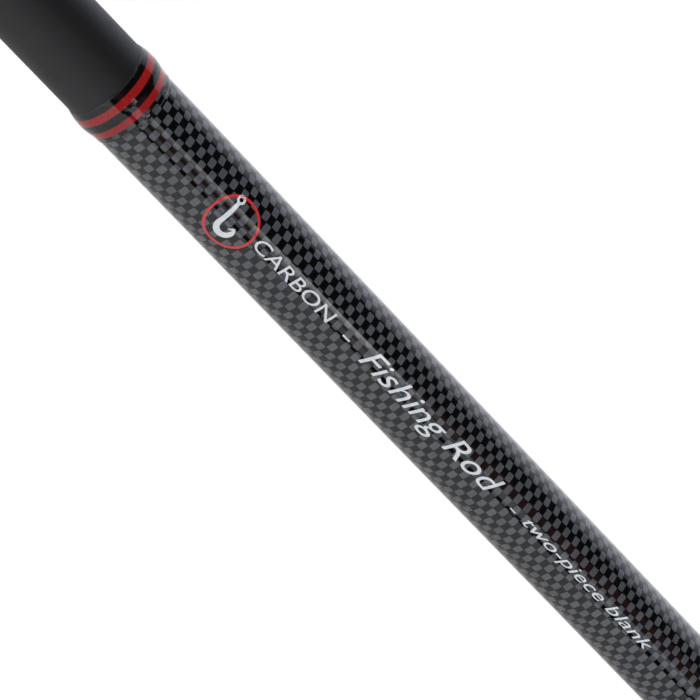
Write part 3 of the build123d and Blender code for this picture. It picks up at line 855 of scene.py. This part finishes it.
def plate(name, bands, material, x, angle):
    """Thin plates from bands of (left, right) points, bent round the blank as one printed mark."""
    work = bmesh.new()
    for left, right, closed in bands:
        count = len(left)
        levels = (INK_TOP, INK_BOTTOM)
        rows = [[work.verts.new((*p, z)) for p in side] for side in (left, right) for z in levels]
        left_top, left_low, right_top, right_low = rows
        for i in range(count if closed else count - 1):
            j = (i + 1) % count
            work.faces.new((left_top[i], left_top[j], right_top[j], right_top[i]))
            work.faces.new((left_low[i], right_low[i], right_low[j], left_low[j]))
            work.faces.new((left_top[i], left_low[i], left_low[j], left_top[j]))
            work.faces.new((right_top[i], right_top[j], right_low[j], right_low[i]))
        if not closed:
            for i in (0, count - 1):
                work.faces.new((left_top[i], right_top[i], right_low[i], left_low[i]))
    mesh = bpy.data.meshes.new(name)
    work.to_mesh(mesh)
    work.free()
    wrap_on_blank(mesh, x, angle)
    return place(new_object(name, mesh, [material]), "butt_section", "blank_carbon")


def arc_points(centre, radius, start, end, count):
    """Points on an arc, from one angle in degrees to another."""
    angles = [math.radians(start + (end - start) * k / (count - 1)) for k in range(count)]
    return [(centre[0] + radius * math.cos(a), centre[1] + radius * math.sin(a)) for a in angles]


def circle_band(centre, outer, inner, count):
    """The (left, right, closed) edges of a flat ring."""
    around = 360.0 * (count - 1) / count
    return (*(arc_points(centre, r, 0.0, around, count) for r in (outer, inner)), True)


def hook_bands():
    """The bands of a plain fish hook: shank and bend, barb, and eye."""
    shank_x = HOOK_BEND[0] - HOOK_BEND_RADIUS
    shank_length = HOOK_SHANK_TOP - HOOK_BEND[1]
    shank = [(shank_x, HOOK_SHANK_TOP - shank_length * k / 8) for k in range(8)]
    line = shank + arc_points(HOOK_BEND, HOOK_BEND_RADIUS, 180.0, 395.0, 28)
    swelling = [math.sin(math.pi * k / (len(line) - 1)) for k in range(len(line))]
    widths = [HOOK_WIDTH + HOOK_SWELL * share for share in swelling]
    widths[-5:] = [w * share for w, share in zip(widths[-5:], HOOK_POINT)]
    tip_x, tip_y = line[-1]
    barb = [(tip_x - 0.02 * MM, tip_y - 0.25 * MM), (tip_x - 0.75 * MM, tip_y - 0.75 * MM)]
    eye_centre = (shank_x, HOOK_SHANK_TOP + 0.55 * MM)
    return [
        (*stroke(line, widths), False),
        (*stroke(barb, [0.42 * MM, 0.06 * MM]), False),
        circle_band(eye_centre, *HOOK_EYE, 48),
    ]


def emblem():
    """A plain red ring round a plain white fish hook."""
    ring = circle_band((0.0, 0.0), EMBLEM_RADIUS, EMBLEM_RADIUS - EMBLEM_LINE, 96)
    plate("emblem_ring", [ring], RED_INK, EMBLEM_X, EMBLEM_ANGLE)
    plate("emblem_hook", hook_bands(), WHITE_INK, EMBLEM_X, EMBLEM_ANGLE)


def marking():
    for name, words, size, x, degrees, length, slant in MARKS:
        lettering(name, words, size * MM, x * MM, math.radians(degrees), length * MM, slant)


# ==== Studio =============================================================================
AMBIENT = 1.25

# What a mirror on the rod sees, in degrees round the rod's axis from +Z towards +Y. Each light lies
# beside the rod, not quite in line with it, so its edges are given for two directions: NEAR and FAR
# are the shares of a direction that point along the rod.
NEAR, FAR = 0.40, 0.535
DARK = (0.04, 0.04, 0.042)
FRONT_BOX = [  # its brightness over the whole side of the rod away from +Y
    (-180.0, (0.84, 0.80, 0.76)),
    (-160.0, (0.72, 0.70, 0.68)),
    (-110.0, (0.66, 0.66, 0.67)),
    (-97.0, (0.74, 0.74, 0.75)),
    (-75.0, (0.90, 0.90, 0.91)),
    (-45.0, (1.00, 1.00, 1.01)),
    (-32.0, (1.15, 1.15, 1.17)),
    (-24.0, (1.25, 1.25, 1.27)),
]
BACK_BOX = [  # and over the side towards +Y
    (86.0, (0.50, 0.53, 0.59)),
    (100.0, (0.62, 0.65, 0.71)),
    (112.0, (0.90, 0.94, 1.04)),
    (130.0, (1.08, 1.12, 1.22)),
    (180.0, (1.20, 1.22, 1.28)),
]
BACK_SHIFT = 13.0  # degrees that its lower edge comes down from NEAR to FAR

# A light's edges: its lower edge at NEAR and at FAR, its upper edge at both, and how soft each edge is.
OUTSIDE = 400.0  # past the end of the turn
FRONT_EDGES = ((-OUTSIDE, -OUTSIDE), (-27.3, -24.0), (1.0, 2.5))
BACK_EDGES = ((92.0, 92.0 - BACK_SHIFT), (OUTSIDE, OUTSIDE), (5.0, 1.0))
HAZE_EDGES = ((-12.0, -8.0), (4.0, 43.0), (4.0, 12.0))
BAND_EDGES = ((-18.3, -13.5), (-8.5, 8.5), (3.0, 5.0))
STRIP_EDGES = ((7.0, 4.0), (17.3, 17.3), (15.0, 2.5))
HAZE = (0.24, 0.125, 0.12)
BAND_NEAR, BAND_FAR = (0.85, 0.84, 0.86), (1.30, 1.36, 1.48)
STRIP_NEAR, STRIP_FAR = 1.9, 4.0
FRONT_FADE = 0.82  # brightness of the front box at FAR
AHEAD = (0.27, 0.36)  # the band and the strip start between these shares of a direction


def fill_ramp(ramp, stops):
    while len(ramp.elements) > 1:
        ramp.elements.remove(ramp.elements[-1])
    for index, (degrees, color) in enumerate(stops):
        position = degrees / 360.0 + 0.5
        stop = ramp.elements[0] if index == 0 else ramp.elements.new(position)
        stop.position = position
        stop.color = (*color, 1.0)


def between_edges(tree, angle, along, low, high, soft):
    """1 between two edges and 0 outside them. An edge is its place in degrees at NEAR and at FAR."""
    sides = []
    for (near, far), sign in ((low, 1.0), (high, -1.0)):
        edge = calc(tree, "MULTIPLY_ADD", along, far - near, near)
        past = calc(tree, "MULTIPLY", calc(tree, "SUBTRACT", angle, edge), sign)
        width = soft[0] if sign > 0 else soft[1]
        sides.append(between(tree, past, -width / 2, width / 2, smooth=True))
    return calc(tree, "MULTIPLY", *sides)


def studio_lights(tree, direction):
    """The colour that gloss sees in a direction: long soft boxes on both sides, and dark between them."""
    split = node(tree, "SeparateXYZ", {0: direction})
    angle = calc(tree, "MULTIPLY", calc(tree, "ARCTAN2", split.outputs[1], split.outputs[2]), 180.0 / math.pi)
    along = between(tree, split.outputs[0], NEAR, FAR)
    share = calc(tree, "MULTIPLY_ADD", angle, 1.0 / 360.0, 0.5)
    front = node(tree, "ValToRGB", {0: share})
    fill_ramp(front.color_ramp, FRONT_BOX)
    shifted = calc(tree, "MULTIPLY_ADD", along, BACK_SHIFT / 360.0, share)
    back = node(tree, "ValToRGB", {0: shifted})
    fill_ramp(back.color_ramp, BACK_BOX)

    ahead = between(tree, split.outputs[0], *AHEAD, smooth=True)
    haze = between_edges(tree, angle, along, *HAZE_EDGES)
    seen = blend_color(tree, haze, (*DARK, 1.0), (*HAZE, 1.0))
    band = between_edges(tree, angle, along, *BAND_EDGES)
    band_color = blend_color(tree, along, (*BAND_NEAR, 1.0), (*BAND_FAR, 1.0))
    seen = blend_color(tree, calc(tree, "MULTIPLY", band, ahead), seen, band_color)

    strip_body = between_edges(tree, angle, along, *STRIP_EDGES)
    strip_end = calc(tree, "MULTIPLY", between(tree, along, 0.62, 0.38, smooth=True), ahead)
    strip_color = gray_of(tree, between(tree, along, 0.0, 0.4, STRIP_NEAR, STRIP_FAR))
    seen = blend_color(tree, calc(tree, "MULTIPLY", strip_body, strip_end), seen, strip_color)

    fading = gray_of(tree, between(tree, along, 0.0, 1.0, 1.0, FRONT_FADE))
    front_color = blend_color(tree, 1.0, front.outputs[0], fading, "MULTIPLY")
    in_front = between_edges(tree, angle, along, *FRONT_EDGES)
    seen = blend_color(tree, in_front, seen, front_color)
    behind = between_edges(tree, angle, along, *BACK_EDGES)
    return blend_color(tree, behind, seen, back.outputs[0])


def studio_world():
    """A plain white studio, with soft boxes for gloss to reflect."""
    world = bpy.data.worlds.new("studio")
    bpy.context.scene.world = world
    world.use_nodes = True
    world.cycles.sampling_method = "NONE"
    tree = world.node_tree
    tree.nodes.clear()
    lights = studio_lights(tree, node(tree, "TexCoord").outputs["Generated"])
    rays = node(tree, "LightPath").outputs
    through = rays["Is Transmission Ray"]
    mirrored = calc(tree, "SUBTRACT", rays["Is Glossy Ray"], through, clamp=True)
    seen = blend_color(tree, mirrored, gray(AMBIENT), lights)
    seen = blend_color(tree, rays["Is Camera Ray"], seen, gray(1.0))
    background = node(tree, "Background", {"Color": seen, "Strength": 1.0})
    output = node(tree, "OutputWorld")
    tree.links.new(background.outputs[0], output.inputs[0])


def floor():
    """A plain pale floor just under the guides."""
    lowest = CAD_BOX[0].z - 1.0 * MM
    middle, reach = (CAD_BOX[0] + CAD_BOX[1]) / 2, 6.0
    corners = [(-reach, -reach), (reach, -reach), (reach, reach), (-reach, reach)]
    mesh = bpy.data.meshes.new("floor")
    mesh.from_pydata([(middle.x + x, middle.y + y, lowest) for x, y in corners], [], [(0, 1, 2, 3)])
    material, tree, shader = finish_material("floor_paint", Roughness=0.9, Specular_IOR_Level=0.0)
    _, _, _, vector = place_axes(tree)
    tone = noise(tree, vector, 0.5)
    connect(tree, shader, Base_Color=blend_color(tree, tone, gray(0.9), gray(0.92)))
    made = new_object("floor", mesh, [material])
    made.visible_glossy = False


def camera():
    """Looks down on the rod ahead of the handle, with the butt at the picture's upper left."""
    back = Vector((-math.sin(VIEW_TILT), 0.0, math.cos(VIEW_TILT)))
    along = Vector((math.cos(VIEW_TILT), 0.0, math.sin(VIEW_TILT)))
    across = Vector((0.0, 1.0, 0.0))
    right = math.cos(IMAGE_ANGLE) * along + math.sin(IMAGE_ANGLE) * across
    up = -math.sin(IMAGE_ANGLE) * along + math.cos(IMAGE_ANGLE) * across
    data = bpy.data.cameras.new("camera")
    data.lens = LENS
    data.sensor_width = 36.0
    data.clip_start = 0.05
    made = bpy.data.objects.new("camera", data)
    turn = Matrix((right, up, back)).transposed().to_4x4()
    made.matrix_world = Matrix.Translation(VIEW_CENTRE + back * VIEW_DISTANCE) @ turn
    bpy.context.scene.collection.objects.link(made)
    bpy.context.scene.camera = made


# ==== Build ===============================================================================
bpy.context.scene.view_settings.view_transform = "Standard"
camera()
studio_world()
floor()
paint_cad_nodes()
butt_blank()
tip_blank()
trim_threads()
trim_coat()
emblem()
marking()
grips()
guide_wraps()
sleeve_wrap("ferrule_wrap", WRAP_COVER, "guide_wrap")
sleeve_wrap("tip_top_wrap", WRAP_COVER, "guide_wrap")
